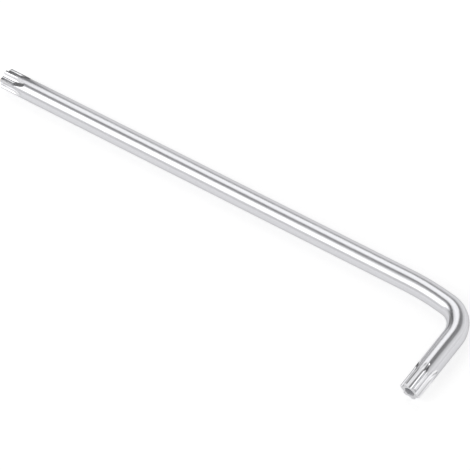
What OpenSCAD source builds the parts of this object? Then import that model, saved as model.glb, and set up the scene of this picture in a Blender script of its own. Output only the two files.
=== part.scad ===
// Star key: one round steel bar, bent to an L, with a six-lobe star pressed into both ends.
// The key lies flat. X runs along the long arm towards the bend, the short arm points to -Y,
// Z is up, and the origin is on the table under the middle of the key. Millimetres.
// Each module is one stretch of the bar, and neighbours meet face to face.

/* [Bar] */
// Diameter of the round bar
bar_d = 4.5; // [4.2:0.05:5]

/* [Arms] */
// Overall length, from the long tip's end to the back of the short arm
key_length = 119; // [90:1:160]
// Overall height of the L, from the back of the long arm to the short tip's end
key_height = 24; // [21:0.5:40]

/* [Bend] */
// Radius of the tight bend, to the bar's axis
bend_r = 6.2; // [4:0.1:8]
// Radius of the gentle curve by which the long arm runs into the bend, to the bar's axis
lead_in_r = 60; // [30:1:80]
// Angle that the gentle curve turns through, in degrees
lead_in_angle = 10; // [4:1:15]

/* [Star] */
// Diameter across the roots of two opposite flutes
root_d = 3.2; // [3:0.05:3.5]
// Radius that rounds each lobe
lobe_r = 0.38; // [0.3:0.01:0.5]
// Width of the round land that the bar keeps on the crest of each lobe
land_w = 0.3; // [0.2:0.02:0.4]
// How much larger the flutes' radius is than one that would only touch the lobes
flute_bite = 0.1; // [0.08:0.01:0.2]

/* [Short tip] */
// Length of the full star on the short arm
short_star_len = 4; // [3:0.1:7]
// Radius of the arc by which the short arm's flutes run out
short_runout_r = 5.2; // [3:0.1:8]
// Chamfer round the short tip's end
short_chamfer = 0.25; // [0.1:0.05:0.5]
// Turn of the short arm's star from a lobe straight up, in degrees
short_star_turn = -20; // [-30:1:30]

/* [Pin hole] */
// Diameter of the hole in the short tip that clears the pin of a tamper-proof screw
pin_hole_d = 2.1; // [1.6:0.05:2.4]
// Depth of the hole's straight wall
pin_hole_depth = 3.2; // [2:0.1:5]
// Point angle of the drill that made the hole, in degrees
drill_angle = 118; // [90:1:140]

/* [Long tip] */
// Length of the full star on the long arm
long_star_len = 2.8; // [2:0.1:7]
// Radius of the arc by which the long arm's flutes run out
long_runout_r = 7.2; // [3:0.1:9]
// Chamfer round the long tip's end
long_chamfer = 0.2; // [0.1:0.05:0.5]
// Turn of the long arm's star from a lobe straight up, in degrees
long_star_turn = -8; // [-30:1:30]

/* [Hidden] */
$fn = 96;

lobes = 6;
pitch = 360 / lobes;
right_angle = 90;
// Length of plain round bar that belongs to each tip, past the end of its flutes
tip_collar = 0.6;
// How far a cut runs past the surface that it opens
overrun = 0.3;

bar_r = bar_d / 2;
root_r = root_d / 2;
flute_depth = bar_r - root_r;
pin_hole_r = pin_hole_d / 2;

// Star outline: a lobe's arc starts at the edge of its land, and a flute's arc cuts the arcs
// of its two neighbouring lobes at a low edge
land_angle = asin(land_w / bar_d);
lobe_at = bar_r * cos(land_angle) - sqrt(pow(lobe_r, 2) - pow(land_w / 2, 2));
lobe_along = lobe_at * cos(pitch / 2);
lobe_aside = lobe_at * sin(pitch / 2);
touching_r = (pow(lobe_at, 2) + pow(root_r, 2) - pow(lobe_r, 2) - 2 * root_r * lobe_along)
    / (2 * (lobe_along + lobe_r - root_r));
flute_r = touching_r + flute_bite;
flute_at = root_r + flute_r;
// Where a flute's arc meets a lobe's arc, seen from the middle of the flute's arc
lobe_gap = norm([flute_at - lobe_along, lobe_aside]);
lobe_way = atan2(lobe_aside, flute_at - lobe_along);
edge_way = lobe_way
    - acos((pow(lobe_gap, 2) + pow(flute_r, 2) - pow(lobe_r, 2)) / (2 * lobe_gap * flute_r));
edge_along = flute_at - flute_r * cos(edge_way);
edge_aside = flute_r * sin(edge_way);
// Where a flute's cut ends outside the bar, over the land of the lobe
cut_along = bar_r + overrun;
cut_aside = cut_along * tan((pitch - land_angle) / 2);

// Places along the two arms
long_axis_y = key_height / 2 - bar_r;
short_axis_x = key_length / 2 - bar_r;
long_end_x = -key_length / 2;
short_end_y = -key_height / 2;
lead_in_run_x = lead_in_r * sin(lead_in_angle);
lead_in_run_y = lead_in_r * (1 - cos(lead_in_angle));
bend_run_x = bend_r * (1 - sin(lead_in_angle));
bend_run_y = bend_r * cos(lead_in_angle);
long_arm_end_x = short_axis_x - bend_run_x - lead_in_run_x;
short_arm_end_y = long_axis_y - lead_in_run_y - bend_run_y;
long_tip_len = tip_len(long_star_len, long_runout_r);
short_tip_len = tip_len(short_star_len, short_runout_r);

// Length over which a flute that leaves on an arc of this radius comes up to the bar's surface
function runout_len(runout_r) = sqrt(pow(runout_r, 2) - pow(runout_r - flute_depth, 2));

function tip_len(star_len, runout_r) = star_len + runout_len(runout_r) + tip_collar;

// What the forming die takes off for one flute, seen along the bar: X is the way out of the bar
module flute_outline() {
    // floor of the flute, up to where the lobes begin
    intersection() {
        translate([flute_at, 0]) circle(flute_r);
        translate([0, -edge_aside]) square([edge_along, 2 * edge_aside]);
    }
    // from there out of the bar, between the two rounded lobes
    difference() {
        polygon([
            [edge_along, -edge_aside],
            [lobe_along, -lobe_aside],
            [cut_along, -cut_aside],
            [cut_along, cut_aside],
            [lobe_along, lobe_aside],
            [edge_along, edge_aside],
        ]);
        for (side = [-1, 1])
            translate([lobe_along, side * lobe_aside]) circle(lobe_r);
    }
}

// One flute: straight over the star's length, then out of the bar on an arc
module flute(star_len, runout_r) {
    out_angle = acos((runout_r - flute_depth - overrun) / runout_r);
    translate([0, 0, -overrun])
        linear_extrude(star_len + overrun) flute_outline();
    translate([root_r + runout_r, 0, star_len])
        rotate([right_angle, 0, 0])
            rotate_extrude(angle = -out_angle, start = 2 * right_angle)
                translate([root_r + runout_r, 0]) mirror([1, 0]) flute_outline();
}

// A star tip along Z, with its end face at zero and the middle of a lobe at X
module star_tip(star_len, runout_r, chamfer) {
    full_len = tip_len(star_len, runout_r);
    difference() {
        rotate_extrude()
            polygon([
                [0, 0],
                [bar_r - chamfer, 0],
                [bar_r, chamfer],
                [bar_r, full_len],
                [0, full_len],
            ]);
        for (i = [0 : lobes - 1])
            rotate([0, 0, pitch / 2 + i * pitch]) flute(star_len, runout_r);
    }
}

// The pin hole along Z from an end face at zero, with the cone that the drill leaves
module pin_hole() {
    translate([0, 0, -overrun]) cylinder(r = pin_hole_r, h = pin_hole_depth + overrun);
    translate([0, 0, pin_hole_depth])
        cylinder(r1 = pin_hole_r, r2 = 0, h = pin_hole_r / tan(drill_angle / 2));
}

module long_star_tip() {
    color("silver")
        translate([long_end_x, long_axis_y, bar_r])
            rotate([0, right_angle, 0]) rotate([0, 0, long_star_turn])
                star_tip(long_star_len, long_runout_r, long_chamfer);
}

module long_arm() {
    color("gainsboro")
        translate([long_end_x + long_tip_len, long_axis_y, bar_r])
            rotate([0, right_angle, 0])
                cylinder(r = bar_r, h = long_arm_end_x - long_end_x - long_tip_len);
}

module bend_lead_in() {
    color("gainsboro")
        translate([long_arm_end_x, long_axis_y - lead_in_r, bar_r])
            rotate_extrude(angle = lead_in_angle, start = right_angle - lead_in_angle)
                translate([lead_in_r, 0]) circle(bar_r);
}

module bend() {
    color("lightgray")
        translate([short_axis_x - bend_r, short_arm_end_y, bar_r])
            rotate_extrude(angle = right_angle - lead_in_angle, start = 0)
                translate([bend_r, 0]) circle(bar_r);
}

module short_arm() {
    color("gainsboro")
        translate([short_axis_x, short_end_y + short_tip_len, bar_r])
            rotate([-right_angle, 0, 0])
                cylinder(r = bar_r, h = short_arm_end_y - short_end_y - short_tip_len);
}

module short_star_tip() {
    color("silver")
        translate([short_axis_x, short_end_y, bar_r])
            rotate([-right_angle, 0, 0]) rotate([0, 0, short_star_turn - right_angle])
                difference() {
                    star_tip(short_star_len, short_runout_r, short_chamfer);
                    pin_hole();
                }
}

long_star_tip();
long_arm();
bend_lead_in();
bend();
short_arm();
short_star_tip();
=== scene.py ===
# %% [markdown]
# # A star key, from a straight bar to a finished part
# The key is one round steel bar. A press forms a six-lobe star on both ends, a bender turns the
# bar into an L, and a plating bath makes it bright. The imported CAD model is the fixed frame: it
# says how large the key is and where it lies. Here the bar is modelled again as one unbroken
# mesh, because polished metal shows every seam and every flat facet as a break in its reflections.

# %% Load the frame
import math

import bpy
from mathutils import Matrix, Vector


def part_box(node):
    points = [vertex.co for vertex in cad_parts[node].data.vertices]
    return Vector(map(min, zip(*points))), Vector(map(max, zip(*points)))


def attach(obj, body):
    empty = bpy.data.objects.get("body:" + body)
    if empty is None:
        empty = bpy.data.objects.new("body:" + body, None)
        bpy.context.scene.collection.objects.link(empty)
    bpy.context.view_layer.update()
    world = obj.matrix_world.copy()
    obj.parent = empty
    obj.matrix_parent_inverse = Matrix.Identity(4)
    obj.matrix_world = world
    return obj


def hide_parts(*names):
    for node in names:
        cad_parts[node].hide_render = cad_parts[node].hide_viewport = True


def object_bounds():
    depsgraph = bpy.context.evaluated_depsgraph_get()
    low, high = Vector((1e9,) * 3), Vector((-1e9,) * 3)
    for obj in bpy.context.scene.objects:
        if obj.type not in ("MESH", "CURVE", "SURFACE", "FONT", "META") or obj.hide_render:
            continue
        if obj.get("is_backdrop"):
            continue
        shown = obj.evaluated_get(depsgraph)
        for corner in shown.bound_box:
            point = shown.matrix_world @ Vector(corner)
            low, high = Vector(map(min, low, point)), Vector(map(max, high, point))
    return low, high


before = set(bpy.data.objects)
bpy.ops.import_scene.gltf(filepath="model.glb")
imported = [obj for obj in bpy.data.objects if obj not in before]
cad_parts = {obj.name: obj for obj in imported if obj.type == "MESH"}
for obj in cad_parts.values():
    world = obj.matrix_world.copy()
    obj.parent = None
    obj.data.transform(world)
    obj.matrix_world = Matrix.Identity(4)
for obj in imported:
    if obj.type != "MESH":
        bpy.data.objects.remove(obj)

MM = 0.001
RIGHT_ANGLE = math.radians(90)
cad_low, cad_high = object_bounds()
print("CAD box in mm:", [round(side / MM, 3) for side in cad_high - cad_low])

# %% [markdown]
# ## Sizes of the bar
# The places of the ends and of the bend could be typed again. They come from the frame's own boxes
# instead, so they follow the CAD model. The round sizes are named here, because a box of flat
# facets gives a radius only roughly. A bar is easiest to model straight, so its length is measured
# along its middle line, arcs too.

# %% Sizes of the bar
BAR_R = 2.25 * MM
BEND_R = 6.2 * MM
LEAD_IN_R = 60 * MM
LEAD_IN_TURN = math.radians(10)
BEND_TURN = RIGHT_ANGLE - LEAD_IN_TURN

long_end_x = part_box("long_star_tip")[0].x
long_tip_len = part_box("long_star_tip")[1].x - long_end_x
long_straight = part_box("long_arm")[1].x - long_end_x
short_end_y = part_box("short_star_tip")[0].y
short_tip_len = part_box("short_star_tip")[1].y - short_end_y
short_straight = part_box("short_arm")[1].y - short_end_y
long_axis_y = cad_high.y - BAR_R
short_axis_x = cad_high.x - BAR_R

bend_from = long_straight + LEAD_IN_R * LEAD_IN_TURN
short_from = bend_from + BEND_R * BEND_TURN
bar_len = short_from + short_straight
print("Straight bar before bending, in mm:", round(bar_len / MM, 2))

# %% [markdown]
# ## Camera
# The camera stands where the photographer's did: high on the right, with a long lens, so that the
# two arms hardly converge. It is turned a little about its own line of sight, because the key lies
# aslant in the frame. Three turns multiplied together are easier to read than three Euler angles.

# %% Camera
AIM = Vector((4.46, 2.51, 0.0)) * MM
CAMERA_DISTANCE = 828.2 * MM
CAMERA_AZIMUTH = math.radians(46.167)
CAMERA_ELEVATION = math.radians(52.399)
CAMERA_ROLL = math.radians(-12.596)
CAMERA_ANGLE = math.radians(6.482)

camera_turn = (
    Matrix.Rotation(CAMERA_AZIMUTH, 4, "Z")
    @ Matrix.Rotation(RIGHT_ANGLE - CAMERA_ELEVATION, 4, "X")
    @ Matrix.Rotation(CAMERA_ROLL, 4, "Z")
)
bpy.ops.object.camera_add()
camera = bpy.context.object
camera.matrix_world = (
    Matrix.Translation(AIM) @ camera_turn @ Matrix.Translation((0, 0, CAMERA_DISTANCE))
)
camera.data.angle = CAMERA_ANGLE
bpy.context.scene.camera = camera
print("Camera stands at, in mm:", [round(side / MM, 1) for side in camera.location])

# %% [markdown]
# ## Fine lines in the metal
# A bar is pulled through a ring to its diameter, and the ring leaves faint lines along it that no
# plating hides. A noise that is stretched along the bar looks like them. It could be laid out with
# a UV map, but that has a seam where it closes round the bar. Instead each point of the mesh will
# remember where it was while the bar was still straight, and the noise reads that place, so the
# lines follow the bend. Three finishes need such lines, so they are made once, as a node group.

# %% Group of nodes for fine lines
STRAIGHT_PLACE = "straight_place"
NOISE_DETAIL = 4
NOISE_ROUGHNESS = 0.6
# Noise seldom leaves the middle of its range, so this part of it is spread over the whole
NOISE_LOW = 0.3
NOISE_HIGH = 0.7


def make_fine_lines():
    """Node group: a value that varies in lines, by how many lines a metre along and round the bar."""
    group = bpy.data.node_groups.new("fine_lines", "ShaderNodeTree")
    for name in ("Along", "Round"):
        group.interface.new_socket(name, in_out="INPUT", socket_type="NodeSocketFloat")
    group.interface.new_socket("Lines", in_out="OUTPUT", socket_type="NodeSocketFloat")
    entry = group.nodes.new("NodeGroupInput")
    leave = group.nodes.new("NodeGroupOutput")
    place = group.nodes.new("ShaderNodeAttribute")
    place.attribute_name = STRAIGHT_PLACE
    counts = group.nodes.new("ShaderNodeCombineXYZ")
    spread = group.nodes.new("ShaderNodeVectorMath")
    spread.operation = "MULTIPLY"
    noise = group.nodes.new("ShaderNodeTexNoise")
    noise.inputs["Scale"].default_value = 1
    noise.inputs["Detail"].default_value = NOISE_DETAIL
    noise.inputs["Roughness"].default_value = NOISE_ROUGHNESS
    contrast = group.nodes.new("ShaderNodeMapRange")
    contrast.inputs["From Min"].default_value = NOISE_LOW
    contrast.inputs["From Max"].default_value = NOISE_HIGH
    group.links.new(entry.outputs["Along"], counts.inputs["X"])
    group.links.new(entry.outputs["Round"], counts.inputs["Y"])
    group.links.new(entry.outputs["Round"], counts.inputs["Z"])
    group.links.new(place.outputs["Vector"], spread.inputs[0])
    group.links.new(counts.outputs["Vector"], spread.inputs[1])
    group.links.new(spread.outputs["Vector"], noise.inputs["Vector"])
    group.links.new(noise.outputs["Fac"], contrast.inputs["Value"])
    group.links.new(contrast.outputs["Result"], leave.inputs["Lines"])
    return group


fine_lines = make_fine_lines()
print("Made the group", fine_lines.name)

# %% [markdown]
# ## What a finish is made of
# A finish is how a surface throws light back: its tone, its roughness and its smallest relief. One
# flat tone and one roughness would look like plastic, so all three follow the fine lines. Metal
# turns paler where it is seen at a low angle. Specular Tint holds that back, so that the rims stand
# out from a white ground. The finishes of the key differ only in their numbers, so one function
# makes them all.

# %% One finish

def make_finish(name, metallic, rim, dark, light, smooth, rough, along, around, depth):
    """Bright metal whose colour, roughness and relief vary in fine lines."""
    material = bpy.data.materials.new(name)
    material.use_nodes = True
    nodes = material.node_tree.nodes
    links = material.node_tree.links
    metal = nodes["Principled BSDF"]
    metal.inputs["Metallic"].default_value = metallic
    metal.inputs["Specular Tint"].default_value = (rim, rim, rim, 1)
    lines = nodes.new("ShaderNodeGroup")
    lines.node_tree = fine_lines
    lines.inputs["Along"].default_value = along
    lines.inputs["Round"].default_value = around
    tone = nodes.new("ShaderNodeMix")
    tone.data_type = "RGBA"
    tone.inputs["A"].default_value = (*dark, 1)
    tone.inputs["B"].default_value = (*light, 1)
    gloss = nodes.new("ShaderNodeMapRange")
    gloss.inputs["To Min"].default_value = smooth
    gloss.inputs["To Max"].default_value = rough
    relief = nodes.new("ShaderNodeBump")
    relief.inputs["Distance"].default_value = depth
    links.new(lines.outputs["Lines"], tone.inputs["Factor"])
    links.new(lines.outputs["Lines"], gloss.inputs["Value"])
    links.new(lines.outputs["Lines"], relief.inputs["Height"])
    links.new(tone.outputs["Result"], metal.inputs["Base Color"])
    links.new(gloss.outputs["Result"], metal.inputs["Roughness"])
    links.new(relief.outputs["Normal"], metal.inputs["Normal"])
    return material


# %% [markdown]
# ## Three finishes of one plating
# The plating is the same all over, but it shows what lies under it. The bar is satin with long
# lines. The die has pressed the stars smooth and bright, with marks of its own. The sawn end and
# the drilled hole are rougher, with marks that go round, and they take so little plating that they
# look half matt, which a Metallic below one gives. One material with a mask could hold all three,
# but three slots on the mesh are easier to follow.

# %% Finishes
BAR_LINE_DEPTH = 0.0006 * MM
STAR_LINE_DEPTH = 0.006 * MM
END_LINE_DEPTH = 0.001 * MM

satin_bar = make_finish(
    "satin_plated_bar",
    metallic=1,
    rim=0.7,
    dark=(0.63, 0.63, 0.65),
    light=(0.71, 0.71, 0.735),
    smooth=0.18,
    rough=0.28,
    along=120,
    around=9000,
    depth=BAR_LINE_DEPTH,
)
pressed_star = make_finish(
    "pressed_plated_star",
    metallic=1,
    rim=0.75,
    dark=(0.6, 0.6, 0.62),
    light=(0.98, 0.98, 1.0),
    smooth=0.06,
    rough=0.16,
    along=150,
    around=2400,
    depth=STAR_LINE_DEPTH,
)
cut_end = make_finish(
    "cut_and_drilled_steel",
    metallic=0.35,
    rim=0.85,
    dark=(0.7, 0.7, 0.72),
    light=(0.86, 0.86, 0.88),
    smooth=0.3,
    rough=0.5,
    along=12000,
    around=1500,
    depth=END_LINE_DEPTH,
)
finishes = [satin_bar, pressed_star, cut_end]
print("Made the finishes", [finish.name for finish in finishes])

# %% [markdown]
# ## The outline of the star
# Seen along the bar, a star has six round lobes with a hollow flute between each two. A flute is an
# arc that curves inwards, a lobe is a small arc that curves outwards, and the two run into each
# other without an edge. The crest of a lobe keeps a narrow land of the bar's own round surface. The
# outline could be drawn by hand, but two arcs that touch follow from four sizes. It repeats every
# sixty degrees and mirrors within each sixty, so one twelfth is enough: from the floor of a flute
# to the middle of a lobe.

# %% Star outline
LOBES = 6
ROOT_R = 1.6 * MM
LOBE_R = 0.38 * MM
LAND_W = 0.3 * MM

half_pitch = math.pi / LOBES
half_land = LAND_W / 2
lobe_at = math.sqrt(BAR_R**2 - half_land**2) - math.sqrt(LOBE_R**2 - half_land**2)
lobe_middle = Vector((math.cos(half_pitch), math.sin(half_pitch))) * lobe_at
flute_r = (lobe_at**2 + ROOT_R**2 - LOBE_R**2 - 2 * ROOT_R * lobe_middle.x) / (
    2 * (lobe_middle.x + LOBE_R - ROOT_R)
)
flute_middle = Vector((ROOT_R + flute_r, 0))
flute_turn = math.atan2(lobe_middle.y, flute_middle.x - lobe_middle.x)
lobe_turn = flute_turn + half_pitch - math.asin(half_land / LOBE_R)
die_len = flute_r * flute_turn + LOBE_R * lobe_turn
print("Flute radius in mm:", round(flute_r / MM, 3))


def die_point(share):
    """Point of the press die's outline, from the floor of a flute (0) to the land of a lobe (1)."""
    way = share * die_len
    turn = way / flute_r
    if turn <= flute_turn:
        return flute_middle + Vector((-math.cos(turn), math.sin(turn))) * flute_r
    turn = (way - flute_r * flute_turn) / LOBE_R - flute_turn
    return lobe_middle + Vector((math.cos(turn), math.sin(turn))) * LOBE_R


# %% [markdown]
# ## Where a flute runs out
# The die stops short of the plain bar and leaves it on an arc, so each flute ends in a scoop with a
# round nose. Every point of the die's outline swings up on the same hinge. How far the cut reaches
# round the bar at a given distance is found by halving an interval, which needs no algebra.

# %% Run-out of a flute
HALVINGS = 40


def lifted(point, past, runout_r):
    """A point of the outline where the die has begun to leave the bar, or None once it is clear."""
    if past <= 0:
        return point
    arm = ROOT_R + runout_r - point.x
    if arm <= past:
        return None
    return Vector((ROOT_R + runout_r - math.sqrt(arm**2 - past**2), point.y))


def cut_share(past, cap_r, runout_r):
    """Share of the die's outline that still cuts into a bar of this radius."""
    low, high = 0.0, 1.0
    for _ in range(HALVINGS):
        middle = (low + high) / 2
        point = lifted(die_point(middle), past, runout_r)
        if point is not None and point.length < cap_r:
            low = middle
        else:
            high = middle
    return low


print("The edge of a cut is found to within", f"{die_len / 2**HALVINGS / MM:.0e}", "mm")

# %% [markdown]
# ## A grid over one twelfth of a tip
# A Boolean cut would leave a tangle of slivers at the scoops. Instead a grid is laid over one
# twelfth of the tip: its columns go round from flute to lobe and its rows go along the bar. The
# first half of the columns lies in the cut and the rest on the round of the bar, so the edge of the
# cut always falls on a line of the mesh. Each row also says how the strip after it is finished, in
# the cut and on the round.

# %% Plain rows
CUT_COLUMNS = 11
ROUND_COLUMNS = 11
columns = CUT_COLUMNS + ROUND_COLUMNS
BAR_FINISH, STAR_FINISH, END_FINISH = range(len(finishes))
BAR_STRIP = (BAR_FINISH, BAR_FINISH)
STAR_STRIP = (STAR_FINISH, STAR_FINISH)
SCOOP_STRIP = (STAR_FINISH, BAR_FINISH)
END_STRIP = (END_FINISH, END_FINISH)


def on_bar(along, radius, angle):
    """A place on the straight bar, given along it, out from its middle line and round it."""
    return Vector((along, radius * math.cos(angle), radius * math.sin(angle)))


def circle_row(along, radius):
    """A plain circle with all columns spread evenly."""
    return [on_bar(along, radius, half_pitch * n / columns) for n in range(columns + 1)]


def bar_row(along):
    """The plain bar past a scoop, where the columns of the cut have closed up."""
    closed = [on_bar(along, BAR_R, 0)] * CUT_COLUMNS
    return closed + [
        on_bar(along, BAR_R, half_pitch * n / ROUND_COLUMNS) for n in range(ROUND_COLUMNS + 1)
    ]


print("One twelfth of a tip has", columns, "columns")

# %% [markdown]
# ## Rows of a star
# From its end a tip has a chamfer, the full star, and the scoops in which the flutes run out. Each
# row takes as much of the die's outline as cuts into the bar there, and goes on round the bar to
# the middle of the lobe. Evenly spaced rows would make corners of the round noses of the scoops, so
# a sine crowds the rows together towards the noses.

# %% Rows of a star
CHAMFER_ROWS = 3
RUNOUT_ROWS = 20


def star_row(along, cap_r, star_len, runout_r):
    """The cut, and then a circle of the cap's radius up to the middle of the lobe."""
    past = along - star_len
    share = cut_share(past, cap_r, runout_r) / CUT_COLUMNS
    cut = [lifted(die_point(share * n), past, runout_r) for n in range(CUT_COLUMNS + 1)]
    angles = [math.atan2(point.y, point.x) for point in cut]
    step = (half_pitch - angles[-1]) / ROUND_COLUMNS
    row = [on_bar(along, point.length, angle) for point, angle in zip(cut, angles)]
    return row + [on_bar(along, cap_r, angles[-1] + step * (n + 1)) for n in range(ROUND_COLUMNS)]


def star_rows(star_len, runout_r, chamfer, tip_len):
    """Rows from the edge of the end face, over chamfer, star and scoop, to the plain bar."""
    runout_len = math.sqrt(runout_r**2 - (runout_r + ROOT_R - BAR_R) ** 2)
    print("Scoops in mm:", round(runout_len / MM, 2))
    rows = []
    for n in range(CHAMFER_ROWS + 1):
        along = chamfer * n / CHAMFER_ROWS
        rows.append((star_row(along, BAR_R - chamfer + along, star_len, runout_r), STAR_STRIP))
    for n in range(RUNOUT_ROWS + 1):
        along = star_len + runout_len * math.sin(RIGHT_ANGLE * n / RUNOUT_ROWS)
        rows.append((star_row(along, BAR_R, star_len, runout_r), SCOOP_STRIP))
    rows.append((bar_row(tip_len), BAR_STRIP))
    return rows


# %% [markdown]
# ## Lay the grid
# A mesh could be built from a list of points and a list of faces. Blender's grid primitive already
# has its faces, so only its corners are moved to their places, row by row. Each face gets its
# finish first, while the grid is still flat and its place says which strip it belongs to.

# %% Grid of a tip
GRID_SIZE = 1.0


def grid_steps(place, count):
    """How many steps lie before a place on the grid, where its whole side has this many."""
    return (place + GRID_SIZE / 2) / GRID_SIZE * count


def lay_grid(name, rows):
    """One twelfth of a tip, with the finishes of its strips."""
    bpy.ops.object.select_all(action="DESELECT")
    strips = len(rows) - 1
    bpy.ops.mesh.primitive_grid_add(x_subdivisions=columns, y_subdivisions=strips, size=GRID_SIZE)
    tip = bpy.context.object
    tip.name = name
    for finish in finishes:
        tip.data.materials.append(finish)
    for face in tip.data.polygons:
        column = math.floor(grid_steps(face.center.x, columns))
        _, (cut_finish, round_finish) = rows[math.floor(grid_steps(face.center.y, strips))]
        face.material_index = cut_finish if column < CUT_COLUMNS else round_finish
    for corner in tip.data.vertices:
        row, _ = rows[round(grid_steps(corner.co.y, strips))]
        corner.co = row[round(grid_steps(corner.co.x, columns))]
    print("Laid a grid of", columns, "by", strips, "faces")
    return tip


# %% [markdown]
# ## From a twelfth to a whole tip
# A Mirror modifier makes the sixth whole, Spin copies it round the bar, and merging the doubles
# closes the seams and the noses of the scoops. An Array modifier could copy it too, but it needs a
# second object to turn about. The turn of the star about the bar is the object's own turn, applied
# to its mesh.

# %% Whole tip
MERGE = 0.0001 * MM


def press_tip(name, rows, turn):
    """A tip whose end is at zero on the X axis and whose bar goes on towards +X."""
    tip = lay_grid(name, rows)
    mirror = tip.modifiers.new("other_half", "MIRROR")
    mirror.use_axis = (False, False, True)
    mirror.merge_threshold = MERGE
    bpy.ops.object.modifier_apply(modifier=mirror.name)
    bpy.ops.object.mode_set(mode="EDIT")
    bpy.ops.mesh.select_all(action="SELECT")
    bpy.ops.mesh.spin(
        steps=LOBES - 1,
        dupli=True,
        angle=2 * half_pitch * (LOBES - 1),
        center=(0, 0, 0),
        axis=(1, 0, 0),
    )
    bpy.ops.mesh.select_all(action="SELECT")
    bpy.ops.mesh.remove_doubles(threshold=MERGE)
    bpy.ops.object.mode_set(mode="OBJECT")
    tip.rotation_euler.x = turn
    bpy.ops.object.transform_apply(location=False, rotation=True, scale=False)
    print("Pressed", name, "with", len(tip.data.polygons), "faces")
    return tip


# %% [markdown]
# ## The long tip
# The long tip has a short star that ends in long, slender scoops, and a plain sawn end. The end
# could be closed with one large face, but a face with so many corners is hard to shade evenly.
# Here it is one more row of the grid, with all its points in the middle, so the end is a fan.

# %% Long tip
LONG_STAR_LEN = 2.8 * MM
LONG_RUNOUT_R = 7.2 * MM
LONG_CHAMFER = 0.2 * MM
LONG_STAR_TURN = math.radians(-8)

long_rows = [(circle_row(0, 0), END_STRIP)]
long_rows += star_rows(LONG_STAR_LEN, LONG_RUNOUT_R, LONG_CHAMFER, long_tip_len)
long_tip = press_tip("long_tip", long_rows, LONG_STAR_TURN)

# %% [markdown]
# ## The short tip
# The short tip has a longer star, and a hole down its middle that clears the pin of a tamper-proof
# screw. A drill leaves a cone at the bottom of its hole, and the mouth of the hole is broken a
# little, as the end's own edge is. A Boolean could drill the hole, but four more rows of the grid
# are enough: the point of the cone, its foot, and both sides of the broken edge. The tip is pressed
# like the other one, and then turned round and moved to the far end of the bar.

# %% Short tip
SHORT_STAR_LEN = 4.0 * MM
SHORT_RUNOUT_R = 5.2 * MM
SHORT_CHAMFER = 0.25 * MM
SHORT_STAR_TURN = math.radians(-20)
PIN_HOLE_R = 1.05 * MM
PIN_HOLE_DEPTH = 3.2 * MM
PIN_HOLE_EDGE = 0.08 * MM
DRILL_ANGLE = math.radians(118)

cone_len = PIN_HOLE_R / math.tan(DRILL_ANGLE / 2)
short_rows = [
    (circle_row(PIN_HOLE_DEPTH + cone_len, 0), END_STRIP),
    (circle_row(PIN_HOLE_DEPTH, PIN_HOLE_R), END_STRIP),
    (circle_row(PIN_HOLE_EDGE, PIN_HOLE_R), END_STRIP),
    (circle_row(0, PIN_HOLE_R + PIN_HOLE_EDGE), END_STRIP),
]
short_rows += star_rows(SHORT_STAR_LEN, SHORT_RUNOUT_R, SHORT_CHAMFER, short_tip_len)
short_tip = press_tip("short_tip", short_rows, SHORT_STAR_TURN)
short_tip.rotation_euler.z = math.pi
short_tip.location.x = bar_len
bpy.ops.object.transform_apply(location=True, rotation=True, scale=False)

# %% [markdown]
# ## One mesh for the key
# The real key has no joint, so the two tips become one mesh before the bar grows between them. The
# bar will be drawn out of the open ring behind the long tip. A ring is found by its place: of all
# open edges, those that lie at one distance along the bar.

# %% Join the tips
long_tip.select_set(True)
short_tip.select_set(True)
bpy.context.view_layer.objects.active = long_tip
bpy.ops.object.join()
key = bpy.context.object
key.name = "star_key"
key.data.name = "star_key"


def select_open_edges(piece, along):
    """Goes to edit mode with only those open edges selected that lie at one place along X."""
    bpy.ops.object.mode_set(mode="EDIT")
    bpy.ops.mesh.select_mode(type="EDGE")
    bpy.ops.mesh.select_all(action="DESELECT")
    bpy.ops.mesh.select_non_manifold()
    bpy.ops.object.mode_set(mode="OBJECT")
    for face in piece.data.polygons:
        face.select = False
    for edge in piece.data.edges:
        ends = [piece.data.vertices[corner].co.x for corner in edge.vertices]
        edge.select = edge.select and all(abs(end - along) < MERGE for end in ends)
    bpy.ops.object.mode_set(mode="EDIT")


print("Both tips have", len(key.data.polygons), "faces")

# %% [markdown]
# ## The bar between the tips
# The open ring behind the long tip is extruded along the bar, step by step, and the last gap is
# bridged. A cylinder with loop cuts would do too, but its ring would have to match the tips' rings
# point by point. Straight stretches need few rings and the bend needs many, so each stretch has its
# own count.

# %% Straight bar
LONG_STEPS = 12
LEAD_IN_STEPS = 16
BEND_STEPS = 48
SHORT_STEPS = 3

select_open_edges(key, long_tip_len)
stretches = [
    (long_straight - long_tip_len, LONG_STEPS),
    (bend_from - long_straight, LEAD_IN_STEPS),
    (short_from - bend_from, BEND_STEPS),
]
for length, steps in stretches:
    for _ in range(steps):
        bpy.ops.mesh.extrude_region_move(TRANSFORM_OT_translate={"value": (length / steps, 0, 0)})
bpy.ops.mesh.select_all(action="DESELECT")
bpy.ops.mesh.select_non_manifold()
bpy.ops.mesh.bridge_edge_loops(number_cuts=SHORT_STEPS)
bpy.ops.mesh.select_all(action="SELECT")
bpy.ops.mesh.normals_make_consistent(inside=False)
bpy.ops.object.mode_set(mode="OBJECT")
print("Straight bar with", len(key.data.polygons), "faces")

# %% [markdown]
# ## Remember the straight bar
# The drawing lines run along the bar and go round the bend with it. Object coordinates would lay
# them straight through the bend. So every point's place is stored now, while the bar is straight,
# as an attribute of the mesh, and the fine lines read it there.

# %% Places on the straight bar
place = key.data.attributes.new(STRAIGHT_PLACE, "FLOAT_VECTOR", "POINT")
for corner in key.data.vertices:
    place.data[corner.index].vector = corner.co
print("Stored", len(place.data), "places")

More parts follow.
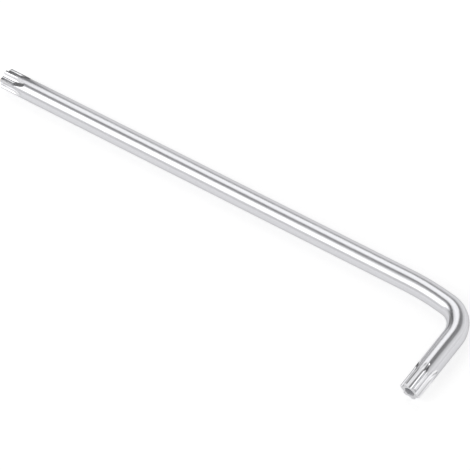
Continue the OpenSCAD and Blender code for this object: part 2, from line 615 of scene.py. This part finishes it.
# %% [markdown]
# ## Where the path of the bend goes
# The bar is bent as the real one is, over a former. Simple Deform bends about one centre only, and
# Spin would have to make the bend before the tip. A Curve modifier bends the finished bar along a
# path: straight, a gentle arc into the bend, the tight arc, and straight again. Each stop of the
# path has its place, its heading, and the lengths of its two handles. A Bezier stretch follows an
# arc when its handles have the length in the function below, and it is straight and even when each
# handle takes a third of it.

# %% Stops of the path
FORWARD = Vector((1, 0, 0))
SIDEWAYS = Vector((0, -1, 0))


def arc_handle(radius, turn):
    """Length of the handles that make a Bezier stretch follow an arc."""
    return 4 / 3 * math.tan(turn / 4) * radius


path_start = Vector((long_end_x, long_axis_y, BAR_R))
lead_in_start = path_start + Vector((long_straight, 0, 0))
bend_end = Vector((short_axis_x, short_end_y + short_straight, BAR_R))
bend_middle = bend_end - Vector((BEND_R, 0, 0))
bend_start = bend_middle + Vector((math.sin(LEAD_IN_TURN), math.cos(LEAD_IN_TURN), 0)) * BEND_R
bend_heading = Vector((math.cos(LEAD_IN_TURN), -math.sin(LEAD_IN_TURN), 0))
path_end = Vector((short_axis_x, short_end_y, BAR_R))

lead_in_handle = arc_handle(LEAD_IN_R, LEAD_IN_TURN)
bend_handle = arc_handle(BEND_R, BEND_TURN)
long_third = long_straight / 3
short_third = short_straight / 3
path_stops = [
    (path_start, FORWARD, long_third, long_third),
    (lead_in_start, FORWARD, long_third, lead_in_handle),
    (bend_start, bend_heading, lead_in_handle, bend_handle),
    (bend_end, SIDEWAYS, bend_handle, short_third),
    (path_end, SIDEWAYS, short_third, short_third),
]
print("The bend starts at, in mm:", [round(side / MM, 2) for side in bend_start])

# %% [markdown]
# ## The path as a curve
# A new Bezier curve has two points, and more are added to it. Their handles are set free, because
# Blender would otherwise place them itself. The bar's own up stays up along the whole path, which
# Z-Up sees to, so that the stars don't turn on the way.

# %% Path of the bend
PATH_STEPS = 96

bpy.ops.object.select_all(action="DESELECT")
bpy.ops.curve.primitive_bezier_curve_add()
path = bpy.context.object
path.data.resolution_u = PATH_STEPS
path.data.twist_mode = "Z_UP"
spline = path.data.splines[0]
spline.bezier_points.add(len(path_stops) - len(spline.bezier_points))
for stop, (at, heading, back, ahead) in zip(spline.bezier_points, path_stops):
    stop.handle_left_type = "FREE"
    stop.handle_right_type = "FREE"
    stop.co = at
    stop.handle_left = at - heading * back
    stop.handle_right = at + heading * ahead
print("Path in mm:", round(spline.calc_length() / MM, 2))

# %% [markdown]
# ## Bend the bar
# The modifier is applied, and the path has then done its work. Shading by angle keeps steep edges
# sharp, such as those of the chamfers and the hole, and makes the round of the bar smooth. The one
# mesh then takes the place of all six stretches of the CAD model, and rides on their body.

# %% Bend
SMOOTH_BELOW = math.radians(25)

bpy.ops.object.select_all(action="DESELECT")
key.select_set(True)
bpy.context.view_layer.objects.active = key
bend = key.modifiers.new("bend", "CURVE")
bend.object = path
bend.deform_axis = "POS_X"
bpy.ops.object.modifier_apply(modifier=bend.name)
bpy.data.objects.remove(path)
bpy.ops.object.shade_smooth_by_angle(angle=SMOOTH_BELOW)

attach(key, "root")
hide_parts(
    "long_star_tip", "long_arm", "bend_lead_in", "bend", "short_arm", "short_star_tip"
)
key_low, key_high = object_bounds()
print("Bent key in mm:", [round(side / MM, 3) for side in key_high - key_low])

# %% [markdown]
# ## Paint of the floor
# The key lies on a plain, matt studio floor. The photograph's ground is pure white. More light would
# wash out the metal, so the floor is a pale grey that gives off light of its own, but only towards
# the camera and in mirror images, and the soft shadow of the key stays.

# %% Paint of the floor
MATT_ROUGHNESS = 0.9
FLOOR_GREY = 0.55
FLOOR_SHINE = 0.1
FLOOR_LIFT = 0.62


def make_matt(name, grey):
    """Matt paint or paper of one grey."""
    material = bpy.data.materials.new(name)
    material.use_nodes = True
    surface = material.node_tree.nodes["Principled BSDF"]
    surface.inputs["Base Color"].default_value = (grey, grey, grey, 1)
    surface.inputs["Roughness"].default_value = MATT_ROUGHNESS
    return material


pale = make_matt("pale_floor", FLOOR_GREY)
pale_nodes = pale.node_tree.nodes
pale_links = pale.node_tree.links
matt = pale_nodes["Principled BSDF"]
matt.inputs["Specular IOR Level"].default_value = FLOOR_SHINE
matt.inputs["Emission Color"].default_value = (1, 1, 1, 1)
ray = pale_nodes.new("ShaderNodeLightPath")
seen = pale_nodes.new("ShaderNodeMath")
seen.operation = "MAXIMUM"
shown = pale_nodes.new("ShaderNodeMath")
shown.operation = "MAXIMUM"
lift = pale_nodes.new("ShaderNodeMath")
lift.operation = "MULTIPLY"
lift.inputs[1].default_value = FLOOR_LIFT
pale_links.new(ray.outputs["Is Camera Ray"], seen.inputs[0])
pale_links.new(ray.outputs["Is Glossy Ray"], seen.inputs[1])
pale_links.new(seen.outputs[0], shown.inputs[0])
pale_links.new(ray.outputs["Is Transmission Ray"], shown.inputs[1])
pale_links.new(shown.outputs[0], lift.inputs[0])
pale_links.new(lift.outputs[0], matt.inputs["Emission Strength"])
print("Made the paint", pale.name)

# %% [markdown]
# ## Floor
# A studio has a sweep of paper that curves up behind the object, so that no edge shows. The camera
# looks down steeply here, so one wide, flat plane fills the picture. It lies a hair under the key,
# because surfaces that touch can flicker.

# %% Floor
FLOOR_SIZE = 12.0
FLOOR_GAP = 0.02 * MM

bpy.ops.object.select_all(action="DESELECT")
bpy.ops.mesh.primitive_plane_add(size=FLOOR_SIZE, location=(0, 0, -FLOOR_GAP))
floor = bpy.context.object
floor.name = "floor"
floor.data.materials.append(pale)
floor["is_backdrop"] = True
print("Floor in metres:", [round(side, 1) for side in floor.dimensions])

# %% [markdown]
# ## Light
# Round polished bar is lit by what it mirrors, so its bands are a picture of the room. Two large
# softboxes hang on the left, one behind the key and one in front. The gap between them draws the
# dark line along the long arm, and the right edge of the rear one begins the dark line along the
# short arm. Spot lamps would give sparks in place of bands, so these are area lamps. A lamp's power
# follows from its size, so that its face looks as bright however large it is. Sizes are in metres.

# %% Softboxes
SOFTBOX_HEIGHT = 0.8
REAR_FROM_X = -0.95
REAR_TO_X = -0.07
REAR_FROM_Y = 0.14
REAR_TO_Y = 1.0
REAR_SHINE = 1.17
FRONT_FROM_X = -1.3
FRONT_TO_X = -0.4
FRONT_FROM_Y = -1.6
FRONT_TO_Y = -0.26
FRONT_SHINE = 1.2


def hang_softbox(name, from_x, to_x, from_y, to_y, shine):
    """A softbox that faces down, given by its edges and how bright its face looks."""
    bpy.ops.object.light_add(type="AREA")
    softbox = bpy.context.object
    softbox.name = name
    softbox.location = ((from_x + to_x) / 2, (from_y + to_y) / 2, SOFTBOX_HEIGHT)
    softbox.data.shape = "RECTANGLE"
    softbox.data.size = to_x - from_x
    softbox.data.size_y = to_y - from_y
    softbox.data.energy = shine * math.pi * softbox.data.size * softbox.data.size_y
    softbox.visible_camera = False
    print(name, "gives", round(softbox.data.energy, 2), "W")


hang_softbox("rear_softbox", REAR_FROM_X, REAR_TO_X, REAR_FROM_Y, REAR_TO_Y, REAR_SHINE)
hang_softbox("front_softbox", FRONT_FROM_X, FRONT_TO_X, FRONT_FROM_Y, FRONT_TO_Y, FRONT_SHINE)

# %% [markdown]
# ## Grey card
# The scoops of the long tip are dark in the photograph, as if they mirrored something close by on
# the left. A photographer stands a folded card there. A dim patch of the room would darken the long
# arm as well, and a card this near shows mostly in the tip. A plane lies on the floor, and its far
# edge is extruded upwards. The camera doesn't see the card and it throws no shadow, so only the
# metal shows it.

# %% Grey card
CARD_FROM_X = -80 * MM
CARD_TO_X = -63 * MM
CARD_FROM_Y = -3 * MM
CARD_TO_Y = 60 * MM
CARD_HEIGHT = 36 * MM
CARD_GREY = 0.3

bpy.ops.object.select_all(action="DESELECT")
bpy.ops.mesh.primitive_plane_add(size=1)
card = bpy.context.object
card.name = "grey_card"
card.scale = (CARD_TO_X - CARD_FROM_X, CARD_TO_Y - CARD_FROM_Y, 1)
card.location = ((CARD_FROM_X + CARD_TO_X) / 2, (CARD_FROM_Y + CARD_TO_Y) / 2, 0)
bpy.ops.object.transform_apply(location=True, rotation=False, scale=True)
select_open_edges(card, CARD_FROM_X)
bpy.ops.mesh.extrude_region_move(TRANSFORM_OT_translate={"value": (0, 0, CARD_HEIGHT)})
bpy.ops.object.mode_set(mode="OBJECT")
card.data.materials.append(make_matt("grey_card", CARD_GREY))
card.visible_camera = False
card.visible_diffuse = False
card.visible_shadow = False
card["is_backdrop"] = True
print("The card has", len(card.data.polygons), "leaves")

# %% [markdown]
# ## Shades of the room
# The rest of the room is the colour of the world. A picture of a studio could do this, but it would
# be a file of its own. A colour ramp over the cosine of the angle between a look and a heading makes
# one round patch with a soft edge, and several patches are multiplied.

# %% Shades of the room
world = bpy.data.worlds.new("studio")
bpy.context.scene.world = world
world.use_nodes = True
world_nodes = world.node_tree.nodes
world_links = world.node_tree.links
looking = world_nodes.new("ShaderNodeTexCoord")


def shade_from(heading, stops):
    """Shade by how far a look turns from a heading: a ramp over the cosine of the angle."""
    cosine = world_nodes.new("ShaderNodeVectorMath")
    cosine.operation = "DOT_PRODUCT"
    cosine.inputs[1].default_value = heading
    share = world_nodes.new("ShaderNodeMapRange")
    share.inputs["From Min"].default_value = -1
    ramp = world_nodes.new("ShaderNodeValToRGB")
    ramp.color_ramp.interpolation = "EASE"
    while len(ramp.color_ramp.elements) < len(stops):
        ramp.color_ramp.elements.new(1)
    for element, (at, shade) in zip(ramp.color_ramp.elements, stops):
        element.position = (at + 1) / 2
        element.color = (shade, shade, shade, 1)
    world_links.new(looking.outputs["Generated"], cosine.inputs[0])
    world_links.new(cosine.outputs["Value"], share.inputs["Value"])
    world_links.new(share.outputs["Result"], ramp.inputs["Fac"])
    return ramp.outputs["Color"]


def multiplied(first, second):
    """Product of two shades."""
    product = world_nodes.new("ShaderNodeVectorMath")
    product.operation = "MULTIPLY"
    world_links.new(first, product.inputs[0])
    world_links.new(second, product.inputs[1])
    return product.outputs["Vector"]


print("Made the world", world.name)

# %% [markdown]
# ## Surroundings
# The walls are pale. The ceiling behind the softboxes is dim, and so are a patch overhead and one
# on the left and one on the right, which give the metal its contrast from every side. Each patch
# has a heading and a few pairs of a cosine and a shade.

# %% Surroundings
REAR_CEILING = Vector((-0.14, 0.5, 0.855))
FRONT_CEILING = Vector((-0.08, -0.25, 0.965))
LEFT = Vector((-0.8, 0.05, 0.6))
RIGHT = Vector((0.76, -0.53, 0.37))
REAR_CEILING_SHADES = [(-0.3, 0.78), (0.2, 0.95), (0.45, 1.06), (0.7, 0.87), (0.9, 0.27)]
FRONT_CEILING_SHADES = [(0.93, 1.0), (0.965, 0.5), (0.985, 0.25)]
LEFT_SHADES = [(0.8, 1.0), (0.91, 0.65), (0.97, 0.15)]
RIGHT_SHADES = [(0.8, 1.0), (0.92, 0.65), (0.98, 0.35)]

patches = [(FRONT_CEILING, FRONT_CEILING_SHADES), (LEFT, LEFT_SHADES), (RIGHT, RIGHT_SHADES)]
room = shade_from(REAR_CEILING, REAR_CEILING_SHADES)
for heading, stops in patches:
    room = multiplied(room, shade_from(heading, stops))
world_links.new(room, world_nodes["Background"].inputs["Color"])

bpy.context.scene.view_settings.view_transform = "Standard"
print("The room has", len(patches) + 1, "patches")

# %% [markdown]
# The dressed key has to fill the same box as the CAD model. The last lines print how much the two
# boxes differ.

visual_low, visual_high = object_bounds()
growth = (visual_high - visual_low) - (cad_high - cad_low)
print("Sizes differ by, in mm:", [round(side / MM, 4) for side in growth])
